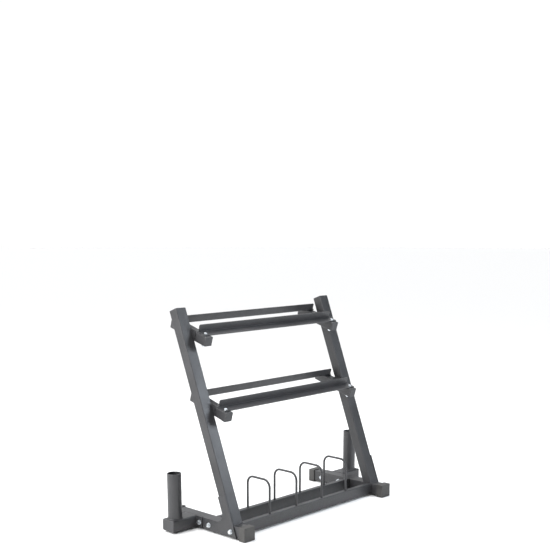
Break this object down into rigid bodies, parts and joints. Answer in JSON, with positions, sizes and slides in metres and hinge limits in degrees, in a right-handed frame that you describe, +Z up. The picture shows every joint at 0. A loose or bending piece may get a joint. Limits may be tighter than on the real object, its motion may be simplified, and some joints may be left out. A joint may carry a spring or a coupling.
{
  "type": "dumbbell rack",
  "caption": "Two-tier dumbbell rack on leaning side frames, with hoop dividers for weight plates in its base and an upright bar socket on each side.",
  "frame": {"origin": "on the floor, in the middle of the rack's width and of its overall depth", "axes": "+X to the right along the trays, +Y from the low front of the trays to the back, +Z up"},
  "size_m": [1.222, 0.5068, 0.9233],
  "materials": {
    "powder_coat": "satin charcoal powder coat with a fine texture",
    "cap_plastic": "moulded, fine grain",
    "zinc": "bright zinc plate"
  },
  "bodies": {
    "root": {"base_rail_bolts": "zinc", "base_rail_nut_blocks": "powder_coat", "base_rail_washers": "zinc", "divider_screws": "zinc", "front_base_rail": "powder_coat", "holder_bolts": "zinc", "holder_inner_washers": "zinc", "holder_nuts": "zinc", "holder_outer_washers": "zinc", "left_bar_socket": "powder_coat", "left_foot_tube": "powder_coat", "left_front_foot_cap": "cap_plastic", "left_gusset_plate": "powder_coat", "left_holder_flange": "powder_coat", "left_holder_plug": "cap_plastic", "left_holder_tube": "powder_coat", "left_middle_arm": "powder_coat", "left_middle_arm_front_plug": "cap_plastic", "left_middle_arm_plate": "powder_coat", "left_middle_arm_rear_plug": "cap_plastic", "left_rear_foot_cap": "cap_plastic", "left_top_arm": "powder_coat", "left_top_arm_front_plug": "cap_plastic", "left_top_arm_plate": "powder_coat", "left_top_arm_rear_plug": "cap_plastic", "left_upright": "powder_coat", "left_upright_plug": "cap_plastic", "middle_front_tray_rail": "powder_coat", "middle_rear_tray_rail": "powder_coat", "plate_divider_1": "powder_coat", "plate_divider_2": "powder_coat", "plate_divider_3": "powder_coat", "plate_divider_4": "powder_coat", "rear_base_rail": "powder_coat", "right_bar_socket": "powder_coat", "right_foot_tube": "powder_coat", "right_front_foot_cap": "cap_plastic", "right_gusset_plate": "powder_coat", "right_holder_flange": "powder_coat", "right_holder_plug": "cap_plastic", "right_holder_tube": "powder_coat", "right_middle_arm": "powder_coat", "right_middle_arm_front_plug": "cap_plastic", "right_middle_arm_plate": "powder_coat", "right_middle_arm_rear_plug": "cap_plastic", "right_rear_foot_cap": "cap_plastic", "right_top_arm": "powder_coat", "right_top_arm_front_plug": "cap_plastic", "right_top_arm_plate": "powder_coat", "right_top_arm_rear_plug": "cap_plastic", "right_upright": "powder_coat", "right_upright_plug": "cap_plastic", "top_front_tray_rail": "powder_coat", "top_rear_tray_rail": "powder_coat", "tray_bolts": "zinc", "tray_nuts": "zinc", "tray_washers": "zinc"}
  },
  "joints": []
}
